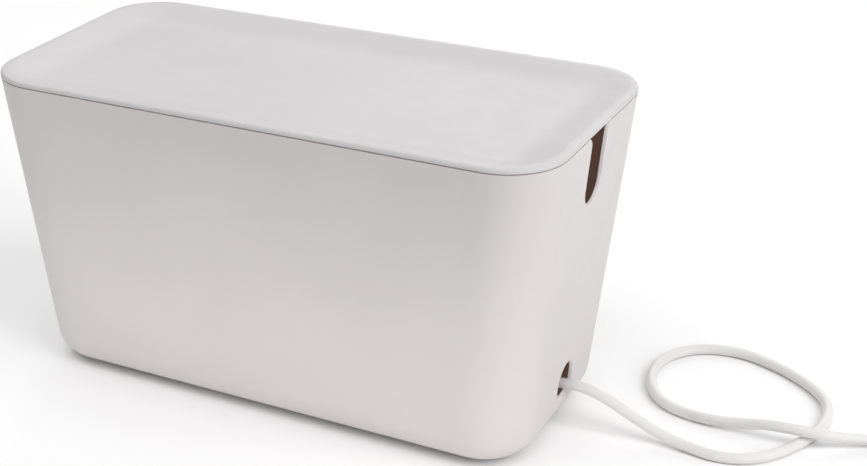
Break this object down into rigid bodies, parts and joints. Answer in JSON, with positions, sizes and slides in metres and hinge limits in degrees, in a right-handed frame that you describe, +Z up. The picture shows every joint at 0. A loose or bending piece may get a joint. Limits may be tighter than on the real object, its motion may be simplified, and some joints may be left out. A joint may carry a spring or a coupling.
{
  "type": "desktop cable box with socket strip",
  "caption": "Tapered rounded cable box with a sunken lift-off lid, lead slots and ports in its ends, hiding a switched socket strip whose mains lead loops on the floor.",
  "frame": {"origin": "middle of the box's footprint, on the surface that its feet stand on", "axes": "+X along the box towards the end that the mains lead leaves, +Y towards the back, +Z up"},
  "size_m": [0.8276, 0.2812, 0.25],
  "materials": {
    "box_shell": "fine matt moulded, warm white",
    "lid_shell": "soft matt, slightly cooler white",
    "foot_silicone": "translucent silicone",
    "rail_aluminium": "anodised extrusion",
    "strip_plastic": "satin moulded",
    "socket_plastic": "semi-gloss moulded",
    "contact_brass": "stamped",
    "earth_steel": "nickel plated strip",
    "screw_steel": "zinc plated",
    "rocker_plastic": "translucent red",
    "clamp_plastic": "moulded",
    "wire_brown": "core insulation",
    "wire_blue": "core insulation",
    "wire_green_yellow": "core insulation",
    "lead_sheath": "smooth flexible sheath",
    "tie_fabric": "hook-and-loop strap",
    "plug_plastic": "satin moulded",
    "plug_metal": "nickel plated"
  },
  "bodies": {
    "box": {"box_body": "box_shell", "foot_front_left": "foot_silicone", "foot_front_right": "foot_silicone", "foot_back_left": "foot_silicone", "foot_back_right": "foot_silicone", "strip_rail": "rail_aluminium", "cap_blind": "strip_plastic", "cap_lead": "strip_plastic", "cap_screws": "screw_steel", "socket_1": "socket_plastic", "socket_2": "socket_plastic", "socket_3": "socket_plastic", "socket_4": "socket_plastic", "live_bar": "contact_brass", "neutral_bar": "contact_brass", "earth_bar": "earth_steel", "switch_frame": "strip_plastic", "rocker_pin": "screw_steel", "switch_terminals": "contact_brass", "lead_end": "lead_sheath", "clamp_base": "clamp_plastic", "clamp_bar": "clamp_plastic", "clamp_screws": "screw_steel", "wire_live_in": "wire_brown", "wire_live_out": "wire_brown", "wire_neutral_in": "wire_blue", "wire_neutral_out": "wire_blue", "wire_earth": "wire_green_yellow", "lead_relief": "lead_sheath", "lead_tube": "lead_sheath", "lead_coil": "lead_sheath", "coil_tie": "tie_fabric", "lead_tail": "lead_sheath", "plug_relief": "plug_plastic", "plug_body": "plug_plastic", "plug_earth_strips": "plug_metal", "plug_pins": "plug_metal"},
    "lid": {"lid": "lid_shell"},
    "rocker": {"rocker": "rocker_plastic"}
  },
  "joints": [
    {"name": "lid_lift", "type": "slide", "parent": "box", "child": "lid", "axis": [0, 0, 1], "range_m": [0, 0.12]},
    {"name": "rocker_tilt", "type": "hinge", "parent": "box", "child": "rocker", "pos_m": [0.069, 0, 0.0437], "axis": [0, -1, 0], "range_deg": [0, 24]}
  ]
}
